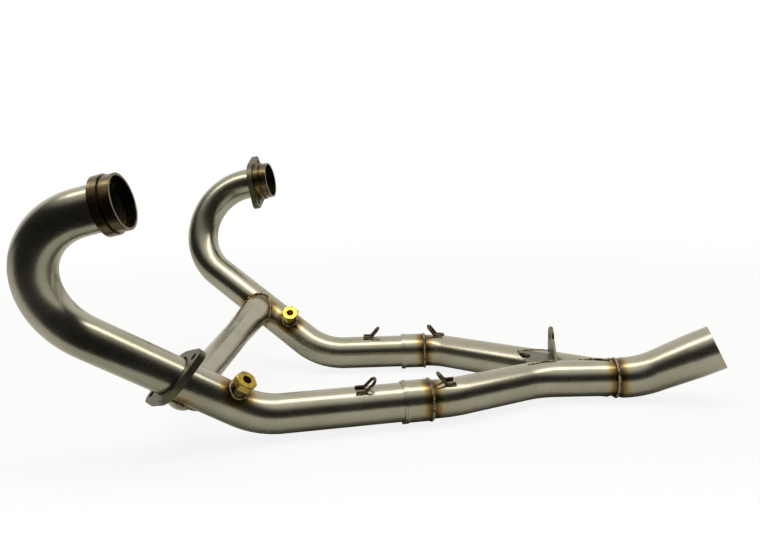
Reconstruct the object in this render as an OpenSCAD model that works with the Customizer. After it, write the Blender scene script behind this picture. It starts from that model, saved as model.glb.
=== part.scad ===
// Decat pipe: two bent headers that plug into a two-into-one collector.
// X runs rearward, Y to the right-hand header and Z up, with the origin under the middle.
// Every tube is built outward from its slip joint as straights and bends, so each
// number is one that a pipe bender is set to.

/* [Header tube] */
// Outside diameter of the header tube
tube_od = 45; // [38:0.5:55]
// Wall of every tube
tube_wall = 1.5; // [1:0.1:2.5]
// Distance between the two slip joints
slip_spacing = 222; // [200:1:260]
// Centre-line radius of the turn-back below each port
u_bend_radius = 80; // [70:1:95]
// Centre-line radius of the bend that starts the climb
lower_bend_radius = 88; // [80:1:110]

/* [Left header] */
// Angle by which the slip joint points outward
left_toe_in = 12.5; // [0:0.5:20]
// Level run ahead of the slip joint
left_run = 142; // [120:1:180]
// Tilt of the lower bend about the run
left_plane = -11; // [-30:1:30]
// Climb of the lower bend
left_rise = 33; // [25:1:45]
// Straight climbing leg
left_leg = 174; // [150:1:200]
// Tilt of the turn-back about the leg
left_twist = -15; // [-30:1:30]
// Angle of the turn-back
left_u_turn = 131; // [110:1:150]
// Straight from the turn-back to the port face
left_stub = 41; // [32:1:60]

/* [Right header] */
// Angle by which the slip joint points inward
right_toe_in = 2; // [-10:0.5:15]
// Level run ahead of the slip joint
right_run = 88; // [80:1:140]
// Tilt of the lower bend about the run
right_plane = 36; // [-10:1:45]
// Climb of the lower bend
right_rise = 41; // [25:1:50]
// Straight climbing leg
right_leg = 179; // [150:1:200]
// Tilt of the turn-back about the leg
right_twist = -16; // [-30:1:30]
// Angle of the turn-back
right_u_turn = 136; // [110:1:150]
// Straight from the turn-back to the port face
right_stub = 36; // [32:1:60]

/* [Port ends] */
// Length of the collar on each port end
collar_length = 20; // [16:1:30]
// Length of the shoulder that the flange pulls on
collar_shoulder = 9; // [6:1:12]
// Diameter of the spigot that enters the port
spigot_od = 53.5; // [50:0.5:58]
// Bore of the spigot
spigot_bore = 48.5; // [46:0.5:49]
// Diameter of the shoulder
shoulder_od = 57; // [54:0.5:62]
// Thickness of the loose flange
flange_thickness = 8; // [6:0.5:12]
// Slack of the flange over the tube, on the diameter
flange_slack = 3; // [1:0.1:4]
// Distance between the two studs
stud_spacing = 70; // [64:1:84]
// Diameter of a stud hole
stud_hole = 8.5; // [6:0.5:11]
// Radius of the flange round the tube
flange_radius = 32; // [29:0.5:36]
// Radius of the flange round a stud
ear_radius = 10.5; // [8:0.5:14]
// How far up the left leg the flange has slid
left_flange_slide = 76; // [76:1:150]
// Turn of the left flange about the tube
left_flange_turn = -13; // [-90:1:90]
// How far the left flange leans on the tube
left_flange_lean = 12; // [0:1:12]
// Turn of the right flange about the tube
right_flange_turn = -7; // [-90:1:90]

/* [Sensor ports] */
// Diameter of the sensor boss
boss_od = 20; // [18:0.5:26]
// Height of the boss above the tube
boss_height = 10; // [8:0.5:16]
// Bore of the boss
boss_bore = 14; // [10:0.5:16]
// Width across the flats of the plug
plug_flats = 22; // [19:1:26]
// Height of the plug's hexagon
plug_head = 9; // [6:0.5:12]
// Diameter of the recess in the plug
plug_recess = 10; // [6:0.5:12]
// How far up the left leg the boss stands
left_boss_at = 12; // [10:1:60]
// Where the left boss stands round the leg
left_boss_turn = -20; // [-90:1:0]
// How far up the right leg the boss stands
right_boss_at = 32; // [10:1:60]
// Where the right boss stands round the leg
right_boss_turn = -79; // [-90:1:0]

/* [Slip joints] */
// Length of the socket
socket_length = 33; // [30:1:45]
// How far the socket reaches ahead of the joint's middle
socket_mouth = 6; // [3:1:10]
// Wall of the socket
socket_wall = 1.6; // [1:0.1:2.5]
// Clearance of the header in the socket, on the radius
socket_clearance = 0.2; // [0.1:0.05:0.5]
// Height of the bead rolled round the socket
socket_bead = 0.8; // [0.4:0.1:2]
// Length of header inside the socket
slip_insert = 22; // [16:1:24]

/* [Spring hooks] */
// Diameter of the hook wire
hook_wire = 3.6; // [3:0.2:5]
// Length of the arms that stand off the tube
hook_arm = 9; // [6:1:14]
// Distance between the two arms
hook_gap = 10; // [8:0.5:14]
// Angle of the arms to the tube
hook_lean = 50; // [35:1:70]
// Distance from the joint to the front hooks
front_hook_at = 51; // [40:1:70]

/* [Crossover] */
// Diameter of the crossover tube
cross_od = 35; // [30:0.5:38]
// Diameter where it leaves the right header
cross_cone_od = 42; // [39:0.5:44]
// Distance over which it narrows
cross_cone_length = 120; // [80:5:160]
// Centre-line radius of the elbow under the left header
cross_elbow_radius = 19; // [18.5:0.5:30]
// How far up the right leg the crossover starts
cross_start = 90; // [60:1:130]
// How far up the left leg the crossover arrives
cross_end = 58; // [50:1:110]
// How far under the left leg's middle it arrives
cross_drop = 23.6; // [20:0.2:40]
// Where it arrives round the left leg
cross_side = -7; // [-60:1:60]

/* [Collector] */
// Straight of the left branch behind its socket
left_branch_run = 12; // [5:1:40]
// First bend of the left branch, inward
left_branch_out = 16.5; // [5:0.5:30]
// Straight between the two bends of the left branch
left_branch_leg = 92; // [60:1:120]
// Second bend of the left branch
left_branch_back = 29; // [20:0.5:40]
// Straight of the left branch up to the outlet
left_branch_end = 73; // [60:1:100]
// Centre-line radii of the left branch's bends, in order
left_branch_radii = [100, 84]; // [60:1:140]
// Centre-line radius of the right branch's bend
right_branch_radius = 55; // [45:1:90]
// How far ahead of the outlet the two branches cross
merge_setback = 8; // [8:1:20]

/* [Mount bracket] */
// Thickness of the bracket's sheet
bracket_sheet = 3; // [2:0.5:5]
// Height of the sheet above the branches' middle
bracket_height = 18.5; // [16:0.5:21]
// Length of the sheet along the fork
bracket_length = 38; // [30:1:60]
// Radius of the crescent cut out of its front edge
crescent_radius = 15; // [10:1:20]
// Height of the eye above the branches' middle
tab_height = 44; // [36:1:60]
// Radius of the tab round the eye
tab_radius = 13; // [10:0.5:18]
// Distance from the left branch's middle to the eye
tab_offset = 40.3; // [30:0.5:50]
// Diameter of the eye
tab_hole = 8.2; // [6:0.1:11]

/* [Outlet] */
// Diameter of the outlet pipe
outlet_od = 50; // [46:0.5:60]
// Diameter of the socket at its end
outlet_socket_od = 54; // [50:0.5:64]
// Length of the cone behind the merge
reducer_length = 8; // [6:1:20]
// Climb of the outlet's bend
outlet_rise = 31; // [5:1:60]
// Turn of the outlet's bend away from straight up
outlet_swing = 30; // [-60:1:60]
// Centre-line radius of the outlet's bend
outlet_bend_radius = 80; // [60:1:110]
// Length of the widening straight
outlet_length = 45; // [30:1:80]
// Length of the socket at the end
outlet_socket_length = 30; // [20:1:50]

/* [Place] */
// From the middle of the whole part's base to the point between the slip joints
base = [-4.5, 11.7, 25.9]; // [-60:0.1:60]

/* [Hidden] */

$fn = 72;
steel = [0.66, 0.65, 0.60];
dark_steel = [0.45, 0.44, 0.40];
brass = [0.78, 0.64, 0.20];
ro = tube_od / 2;
ri = ro - tube_wall;
seam = 0.02; // the closed butt joint on either side of a bend
past = 1; // how far a cutting tool reaches past what it cuts
fit_up = 0.1; // the gap that a saddled edge leaves for its weld

// A frame is [origin, axes]: a tube runs along its +Z and bends toward its +X.
function rot_x(a) = [[1, 0, 0], [0, cos(a), -sin(a)], [0, sin(a), cos(a)]];
function rot_y(a) = [[cos(a), 0, sin(a)], [0, 1, 0], [-sin(a), 0, cos(a)]];
function rot_z(a) = [[cos(a), -sin(a), 0], [sin(a), cos(a), 0], [0, 0, 1]];
function turned(f, m) = [f[0], f[1] * m];
function moved(f, v) = [f[0] + f[1] * v, f[1]];
function along(f, z) = moved(f, [0, 0, z]);
function bent(f, a, R) = turned(moved(f, [R * (1 - cos(a)), 0, R * sin(a)]), rot_y(a));
function heading(a) = [cos(a), sin(a), 0];

// Frames of the headers, from the slip joint up to the port face
function slip_frame(side, toe) = [base + [0, side * slip_spacing / 2, 0], rot_z(toe) * rot_y(-90)];
left_slip = slip_frame(-1, left_toe_in);
left_lower_bend = turned(along(left_slip, left_run), rot_z(left_plane));
left_leg_foot = bent(left_lower_bend, left_rise, lower_bend_radius);
left_u_bend = turned(along(left_leg_foot, left_leg), rot_z(left_twist));
left_stub_foot = bent(left_u_bend, left_u_turn, u_bend_radius);
right_slip = slip_frame(1, right_toe_in);
right_lower_bend = turned(along(right_slip, right_run), rot_z(right_plane));
right_leg_foot = bent(right_lower_bend, right_rise, lower_bend_radius);
right_u_bend = turned(along(right_leg_foot, right_leg), rot_z(right_twist));
right_stub_foot = bent(right_u_bend, right_u_turn, u_bend_radius);

// A sensor boss stands on the leg along its own +Z
function boss_frame(leg, at, turn) = turned(along(leg, at), rot_z(turn) * rot_y(90));
left_boss = boss_frame(left_leg_foot, left_boss_at, left_boss_turn);
right_boss = boss_frame(right_leg_foot, right_boss_at, right_boss_turn);

// The crossover aims from the right leg's middle at a point under the left leg
cross_from = along(right_leg_foot, cross_start)[0];
cross_to = moved(turned(along(left_leg_foot, cross_end), rot_z(cross_side)), [-cross_drop, 0, 0])[0];
cross_way = cross_to - cross_from;
cross_frame = [cross_from, rot_z(atan2(cross_way.y, cross_way.x)) *
  rot_y(acos(cross_way.z / norm(cross_way))) * rot_z(180)];
elbow_straight = 24;
elbow_turn = 75;
elbow_at = norm(cross_way) - cross_elbow_radius - elbow_straight;
elbow_bend = along(cross_frame, elbow_at + elbow_straight);

// Frames of the collector, rearward from each slip joint
branch_start = socket_length - socket_mouth;
branch_lap = 3; // how far a branch reaches into its socket
left_branch_bend = turned(along(turned(left_slip, rot_x(180)), branch_start + left_branch_run), rot_z(-90));
left_branch_leg_foot = bent(left_branch_bend, left_branch_out, left_branch_radii[0]);
left_branch_back_bend = turned(along(left_branch_leg_foot, left_branch_leg), rot_z(180));
left_branch_end_foot = bent(left_branch_back_bend, left_branch_back, left_branch_radii[1]);
right_branch_bend = turned(along(turned(right_slip, rot_x(180)), branch_start), rot_z(90));

// The right branch turns until its leg points at the place where the branches cross
merge_point = along(left_branch_end_foot, left_branch_end - merge_setback)[0];
turn_centre = moved(right_branch_bend, [right_branch_radius, 0, 0])[0];
merge_way = merge_point - turn_centre;
right_branch_leg = sqrt(norm(merge_way) ^ 2 - right_branch_radius ^ 2);
right_branch_turn = right_toe_in - atan2(merge_way.y, merge_way.x) + asin(right_branch_radius / norm(merge_way));
right_branch_leg_foot = bent(right_branch_bend, right_branch_turn, right_branch_radius);

// Frames of the outlet
outlet_frame = turned(along(left_branch_end_foot, left_branch_end), rot_z(outlet_swing - 90));
outlet_bend = along(outlet_frame, reducer_length);
outlet_leg_foot = bent(outlet_bend, outlet_rise, outlet_bend_radius);
outlet_socket_frame = along(outlet_leg_foot, outlet_length);

module place(f) {
  multmatrix([for (i = [0:2]) concat(f[1][i], f[0][i])]) children();
}

// Tube lengths
module tube(h, r = ro, q = ri) {
  difference() {
    cylinder(r = r, h = h);
    translate([0, 0, -past]) cylinder(r = q, h = h + 2 * past);
  }
}

module tapered_tube(h, r1, r2, wall = tube_wall) {
  shave = 0.001;
  difference() {
    cylinder(r1 = r1, r2 = r2, h = h);
    translate([0, 0, -shave]) cylinder(r1 = r1 - wall, r2 = r2 - wall, h = h + 2 * shave);
  }
}

module rod_bend(a, R, r) {
  translate([R, 0, 0]) rotate([-90, 180, 0]) rotate_extrude(angle = a) translate([R, 0]) circle(r = r);
}

module tube_bend(a, R, r = ro, q = ri) {
  translate([R, 0, 0]) rotate([-90, 180, 0]) rotate_extrude(angle = a) translate([R, 0]) difference() {
    circle(r = r);
    circle(r = q);
  }
}

// The weld's root bead, inside the wall, that makes two lengths of tube one piece
module root_bead(q = ri) {
  bead_width = 4;
  translate([0, 0, -bead_width / 2]) tube(bead_width, q + 0.7, q - 0.4);
}

// Headers
module header(slip, run, lower_bend, rise, leg_foot, leg, u_bend, u_turn, stub_foot, stub, boss) {
  place(along(slip, -slip_insert)) tube(run + slip_insert - seam);
  place(lower_bend) root_bead();
  place(lower_bend) tube_bend(rise, lower_bend_radius);
  place(leg_foot) root_bead();
  difference() {
    place(along(leg_foot, seam)) tube(leg - 2 * seam);
    place(boss) cylinder(d = boss_bore, h = tube_od);
    children();
  }
  place(u_bend) root_bead();
  place(u_bend) tube_bend(u_turn, u_bend_radius);
  place(stub_foot) root_bead();
  place(along(stub_foot, seam)) tube(stub - collar_length + collar_shoulder - seam);
}

module left_header() {
  color(steel) header(left_slip, left_run, left_lower_bend, left_rise, left_leg_foot, left_leg,
    left_u_bend, left_u_turn, left_stub_foot, left_stub, left_boss)
    place(along(bent(elbow_bend, elbow_turn, cross_elbow_radius), -tube_wall))
      cylinder(r = cross_od / 2 - 2 * tube_wall, h = tube_od / 2);
}

module right_header() {
  color(steel) header(right_slip, right_run, right_lower_bend, right_rise, right_leg_foot, right_leg,
    right_u_bend, right_u_turn, right_stub_foot, right_stub, right_boss)
    place(cross_frame) cylinder(r = cross_cone_od / 2 - 2 * tube_wall, h = tube_od);
}

// Port collars: the shoulder that the flange pulls on, a groove, then the spigot
module collar() {
  groove_depth = 1;
  groove_width = 1.5;
  difference() {
    union() {
      cylinder(d = shoulder_od, h = collar_shoulder);
      translate([0, 0, collar_shoulder]) cylinder(d = spigot_od - 2 * groove_depth, h = groove_width);
      translate([0, 0, collar_shoulder + groove_width])
        cylinder(d = spigot_od, h = collar_length - collar_shoulder - groove_width);
    }
    translate([0, 0, -past]) cylinder(d = tube_od, h = collar_length + 2 * past);
    translate([0, 0, collar_shoulder]) cylinder(d = spigot_bore, h = collar_length);
  }
}

module left_port_collar() {
  color(dark_steel) place(along(left_stub_foot, left_stub - collar_length)) collar();
}

module right_port_collar() {
  color(dark_steel) place(along(right_stub_foot, right_stub - collar_length)) collar();
}

// Loose two-stud flanges: the outline is four arcs, each tangent to its neighbours
function arc(x, r, a1, a2, steps = 16) = [for (i = [0:steps])
  let (a = a1 + (a2 - a1) * i / steps) [x + r * cos(a), r * sin(a)]];

module flange() {
  s = stud_spacing / 2;
  a = acos((flange_radius - ear_radius) / s);
  difference() {
    linear_extrude(height = flange_thickness) polygon(concat(arc(s, ear_radius, -a, a),
      arc(0, flange_radius, a, 180 - a), arc(-s, ear_radius, 180 - a, 180 + a),
      arc(0, flange_radius, 180 + a, 360 - a)));
    translate([0, 0, -past]) cylinder(d = tube_od + flange_slack, h = flange_thickness + 2 * past);
    for (m = [-1, 1]) translate([m * s, 0, -past]) cylinder(d = stud_hole, h = flange_thickness + 2 * past);
  }
}

module left_port_flange() {
  color(dark_steel) place(turned(along(left_leg_foot, left_flange_slide),
    rot_z(left_flange_turn) * rot_y(left_flange_lean))) translate([0, 0, -flange_thickness / 2]) flange();
}

module right_port_flange() {
  color(dark_steel) place(along(right_stub_foot, right_stub - collar_length - flange_thickness))
    rotate([0, 0, right_flange_turn]) flange();
}

// Oxygen-sensor bosses, saddled to the leg, and the plugs that close them
module saddle_boss(boss, leg_foot, leg) {
  inside = ro / 2;
  difference() {
    place(along(boss, inside)) tube(ro + boss_height - inside, boss_od / 2, boss_bore / 2);
    place(leg_foot) cylinder(r = ro, h = leg);
  }
}

module left_sensor_boss() { color(dark_steel) saddle_boss(left_boss, left_leg_foot, left_leg); }
module right_sensor_boss() { color(dark_steel) saddle_boss(right_boss, right_leg_foot, right_leg); }

module plug() {
  corners = plug_flats / cos(30);
  chamfer = 2;
  floor_left = 2;
  difference() {
    union() {
      translate([0, 0, ro]) cylinder(d = boss_bore, h = boss_height);
      translate([0, 0, ro + boss_height]) intersection() {
        cylinder(d = corners, h = plug_head, $fn = 6);
        union() {
          cylinder(d = corners + 1, h = plug_head - chamfer);
          translate([0, 0, plug_head - chamfer]) cylinder(d1 = corners + 1, d2 = plug_flats - 1, h = chamfer);
        }
      }
    }
    translate([0, 0, ro + floor_left]) cylinder(d = plug_recess, h = boss_height + plug_head);
  }
}

module left_sensor_plug() { color(brass) place(left_boss) plug(); }
module right_sensor_plug() { color(brass) place(right_boss) plug(); }

// Slip sockets: an expanded sleeve with a rolled bead and a locating lug underneath
module socket() {
  bore = tube_od + 2 * socket_clearance;
  od = bore + 2 * socket_wall;
  bead_width = 3;
  lug = [4, 6, 6];
  difference() {
    union() {
      translate([0, 0, -socket_mouth]) cylinder(d = od, h = socket_length);
      translate([0, 0, 2.5 - socket_mouth]) cylinder(d = od + 2 * socket_bead, h = bead_width);
      translate([-od / 2 - 2 * socket_bead, -lug.y / 2, -socket_mouth]) cube(lug);
    }
    translate([0, 0, -socket_mouth - past]) cylinder(d = bore, h = socket_mouth + slip_insert + 2 + past);
    cylinder(d = tube_od, h = socket_length);
  }
}

module left_slip_socket() { color(steel) place(turned(left_slip, rot_x(180))) socket(); }
module right_slip_socket() { color(steel) place(turned(right_slip, rot_x(180))) socket(); }

// Spring hooks: a wire loop on a tube of radius r0, its two feet welded along the tube.
// The feet lie along -Z and the loop stands off toward +X and +Z, which is the joint's side.
module hook() {
  r = hook_wire / 2;
  bend_radius = 4.5;
  foot = 9;
  knuckle = r + 0.15;
  g = hook_gap / 2;
  c = seam / 2;
  arm = bent([[0, 0, 0], rot_z(0)], hook_lean, bend_radius);
  translate([ro + r - 0.5, 0, 0]) {
    for (m = [-1, 1]) translate([0, m * g, 0]) {
      translate([0, 0, -foot]) cylinder(r = r, h = foot - c);
      sphere(r = knuckle);
      rod_bend(hook_lean, bend_radius, r);
      place(arm) sphere(r = knuckle);
      place(along(arm, c)) cylinder(r = r, h = hook_arm - c);
      place(along(arm, hook_arm)) sphere(r = knuckle);
    }
    translate([0, -g, 0]) place(along(arm, hook_arm + c)) rotate([0, 0, 90]) rod_bend(180, g, r);
  }
}

module left_front_hook() {
  color(dark_steel) difference() {
    place(turned(along(left_slip, front_hook_at), rot_z(-20) * rot_x(180))) hook();
    place(left_slip) cylinder(r = ro, h = left_run);
  }
}

module right_front_hook() {
  color(dark_steel) difference() {
    place(turned(along(right_slip, front_hook_at), rot_z(-4) * rot_x(180))) hook();
    place(right_slip) cylinder(r = ro, h = right_run);
  }
}

module left_rear_hook() {
  at = 4;
  color(dark_steel) difference() {
    place(turned(bent(left_branch_bend, at, left_branch_radii[0]), rot_z(110) * rot_x(180))) hook();
    place(left_branch_bend) rod_bend(left_branch_out, left_branch_radii[0], ro);
  }
}

module right_rear_hook() {
  at = 20;
  color(dark_steel) difference() {
    place(turned(bent(right_branch_bend, at, right_branch_radius), rot_z(-90) * rot_x(180))) hook();
    place(right_branch_bend) rod_bend(right_branch_turn, right_branch_radius, ro);
  }
}

// Crossover: a cone off the right leg, a tube, and an elbow that turns up into the left leg
module crossover_cone() {
  level = 40;
  shave = 0.001;
  bore = cross_cone_od - 2 * tube_wall;
  color(steel) difference() {
    place(cross_frame) difference() {
      union() {
        cylinder(d = cross_cone_od, h = level);
        translate([0, 0, level]) cylinder(d1 = cross_cone_od, d2 = cross_od, h = cross_cone_length - level);
      }
      translate([0, 0, -past]) cylinder(d = bore, h = level + past);
      translate([0, 0, level - shave])
        cylinder(d1 = bore, d2 = cross_od - 2 * tube_wall, h = cross_cone_length - level + 2 * shave);
    }
    place(right_leg_foot) cylinder(r = ro, h = right_leg);
  }
}

module crossover_tube() {
  color(steel) place(along(cross_frame, cross_cone_length))
    tube(elbow_at - cross_cone_length, cross_od / 2, cross_od / 2 - tube_wall);
}

module crossover_elbow() {
  r = cross_od / 2;
  q = r - tube_wall;
  color(steel) difference() {
    union() {
      place(along(cross_frame, elbow_at)) tube(elbow_straight - seam, r, q);
      place(elbow_bend) root_bead(q);
      place(elbow_bend) tube_bend(elbow_turn, cross_elbow_radius, r, q);
    }
    place(left_leg_foot) cylinder(r = ro, h = left_leg);
  }
}

// Collector branches
module left_branch() {
  short = 2; // the way in stops this far ahead of the crossing
  color(steel) {
    place(along(left_branch_bend, -left_branch_run - branch_lap)) tube(left_branch_run + branch_lap - seam);
    place(left_branch_bend) root_bead();
    place(left_branch_bend) tube_bend(left_branch_out, left_branch_radii[0]);
    place(left_branch_leg_foot) root_bead();
    place(along(left_branch_leg_foot, seam)) tube(left_branch_leg - 2 * seam);
    place(left_branch_back_bend) root_bead();
    place(left_branch_back_bend) tube_bend(left_branch_back, left_branch_radii[1]);
    place(left_branch_end_foot) root_bead();
    difference() {
      place(along(left_branch_end_foot, seam)) tube(left_branch_end - seam);
      place(right_branch_leg_foot) cylinder(r = ri, h = right_branch_leg - short);
    }
  }
}

module right_branch() {
  reach = 60;
  color(steel) {
    place(along(right_branch_bend, -branch_lap)) tube(branch_lap - seam);
    place(right_branch_bend) root_bead();
    place(right_branch_bend) tube_bend(right_branch_turn, right_branch_radius);
    place(right_branch_leg_foot) root_bead();
    difference() {
      place(along(right_branch_leg_foot, seam)) tube(right_branch_leg - seam);
      place(along(left_branch_end_foot, -past)) cylinder(r = ro + fit_up, h = left_branch_end + reach);
    }
  }
}

// Mount bracket: a sheet bridging the fork, with an upright tab. Its +X runs rearward
// from the foot of the left branch's end, and its +Y leads across to the right branch.
module mount_bracket() {
  rear = bracket_sheet + 1;
  front = rear - bracket_length - bracket_sheet;
  over = 4; // the angle by which the cut goes on past the bend
  color(steel) difference() {
    translate(left_branch_end_foot[0]) {
      translate([0, 0, bracket_height]) linear_extrude(height = bracket_sheet) difference() {
        polygon([[front, tab_offset + 21], [rear, tab_offset + tab_radius], [rear, 6.3], [front + 2, -10.7]]);
        translate([front - 3, tab_offset - 7]) circle(r = crescent_radius);
      }
      translate([rear - bracket_sheet, tab_offset, 0]) rotate([90, 0, 90])
        linear_extrude(height = bracket_sheet) difference() {
          union() {
            polygon([[-34, 12], [-34, bracket_height + 2.5], [-tab_radius, tab_height],
              [tab_radius, tab_height], [tab_radius, 12]]);
            translate([0, tab_height]) circle(r = tab_radius);
          }
          translate([0, tab_height]) circle(d = tab_hole);
        }
    }
    place(left_branch_back_bend) rod_bend(left_branch_back + over, left_branch_radii[1], ro + fit_up);
    place(right_branch_leg_foot) cylinder(r = ro + fit_up, h = right_branch_leg);
  }
}

// Outlet: a cone behind the merge, a bend that widens, and the socket for the next pipe
module outlet_reducer() {
  color(steel) place(outlet_frame) tapered_tube(reducer_length, ro, outlet_od / 2);
}

module outlet_pipe() {
  r = outlet_od / 2;
  q = r - tube_wall;
  color(steel) {
    place(outlet_bend) tube_bend(outlet_rise, outlet_bend_radius, r, q);
    place(outlet_leg_foot) root_bead(q);
    place(along(outlet_leg_foot, seam)) tapered_tube(outlet_length - seam, r, outlet_socket_od / 2);
  }
}

module outlet_socket() {
  color(steel) place(outlet_socket_frame)
    tube(outlet_socket_length, outlet_socket_od / 2, outlet_socket_od / 2 - tube_wall);
}

left_header();
right_header();
left_port_collar();
right_port_collar();
left_port_flange();
right_port_flange();
left_sensor_boss();
right_sensor_boss();
left_sensor_plug();
right_sensor_plug();
left_slip_socket();
right_slip_socket();
left_front_hook();
right_front_hook();
left_rear_hook();
right_rear_hook();
crossover_cone();
crossover_tube();
crossover_elbow();
left_branch();
right_branch();
mount_bracket();
outlet_reducer();
outlet_pipe();
outlet_socket();
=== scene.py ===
import math

import bmesh
import bpy
from bpy.props import FloatProperty, FloatVectorProperty, PointerProperty
from mathutils import Matrix, Vector


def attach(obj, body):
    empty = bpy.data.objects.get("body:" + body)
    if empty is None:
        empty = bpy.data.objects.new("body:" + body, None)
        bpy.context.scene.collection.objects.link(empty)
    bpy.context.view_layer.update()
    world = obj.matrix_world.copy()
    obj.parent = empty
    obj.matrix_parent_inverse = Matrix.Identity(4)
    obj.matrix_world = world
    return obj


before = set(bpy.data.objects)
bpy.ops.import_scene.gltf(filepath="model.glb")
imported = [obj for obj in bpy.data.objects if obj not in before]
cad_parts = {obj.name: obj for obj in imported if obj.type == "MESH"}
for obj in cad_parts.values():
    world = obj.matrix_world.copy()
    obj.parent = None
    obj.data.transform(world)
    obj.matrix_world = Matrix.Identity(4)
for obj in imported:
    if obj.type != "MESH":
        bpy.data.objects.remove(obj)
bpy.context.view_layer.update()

bl_info = {
    "name": "Decat Pipe",
    "version": (1, 0, 0),
    "blender": (4, 5, 0),
    "location": "3D View > Sidebar > Decat Pipe",
    "description": "Finishes, welds and soot for a motorbike decat pipe, with a plain stage",
    "category": "Object",
}

BODY = "root"
MM = 0.001
PHOTO_WIDTH = 760
SEAM_STEPS = 72
LINING_STEPS = 48

# a Mix node's sockets go by number, because each kind of value repeats their names
MIX_FACTOR, MIX_A, MIX_B, MIX_RESULT = 0, 6, 7, 2


def hex_colour(code):
    """An sRGB hex value as linear red, green and blue."""
    parts = [int(code[i:i + 2], 16) / 255 for i in (1, 3, 5)]
    return tuple(c / 12.92 if c <= 0.04045 else ((c + 0.055) / 1.055) ** 2.4 for c in parts)


def colour_property(name, description, code):
    return FloatVectorProperty(name=name, description=description, default=hex_colour(code),
                               subtype="COLOR", size=3, min=0, max=1)


def length_property(name, description, millimetres):
    return FloatProperty(name=name, description=description, default=millimetres * MM, unit="LENGTH")


def angle_property(name, description, degrees):
    return FloatProperty(name=name, description=description, default=math.radians(degrees),
                         subtype="ANGLE")


class LeftHeaderBends(bpy.types.PropertyGroup):
    """The numbers that the left header is bent to, from its slip joint up to its port"""

    toe_in: angle_property("Toe-in", "Turn of the slip joint about the vertical", 12.5)
    run: length_property("Run", "Level run ahead of the slip joint", 142)
    plane: angle_property("Plane", "Tilt of the lower bend about the run", -11)
    rise: angle_property("Rise", "Climb of the lower bend", 33)
    leg: length_property("Leg", "Straight climbing leg", 174)
    twist: angle_property("Twist", "Tilt of the turn-back about the leg", -15)
    u_turn: angle_property("Turn-back", "Angle of the turn-back", 131)
    stub: length_property("Stub", "Straight from the turn-back to the port face", 41)
    boss_at: length_property("Boss", "How far up the leg the sensor boss stands", 12)
    boss_turn: angle_property("Boss turn", "Where the sensor boss stands round the leg", -20)
    hook_turn: angle_property("Hook turn", "Where the front hook stands round the run", -20)


class RightHeaderBends(bpy.types.PropertyGroup):
    """The numbers that the right header is bent to, from its slip joint up to its port"""

    toe_in: angle_property("Toe-in", "Turn of the slip joint about the vertical", 2)
    run: length_property("Run", "Level run ahead of the slip joint", 88)
    plane: angle_property("Plane", "Tilt of the lower bend about the run", 36)
    rise: angle_property("Rise", "Climb of the lower bend", 41)
    leg: length_property("Leg", "Straight climbing leg", 179)
    twist: angle_property("Twist", "Tilt of the turn-back about the leg", -16)
    u_turn: angle_property("Turn-back", "Angle of the turn-back", 136)
    stub: length_property("Stub", "Straight from the turn-back to the port face", 36)
    boss_at: length_property("Boss", "How far up the leg the sensor boss stands", 32)
    boss_turn: angle_property("Boss turn", "Where the sensor boss stands round the leg", -79)
    hook_turn: angle_property("Hook turn", "Where the front hook stands round the run", -4)


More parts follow.
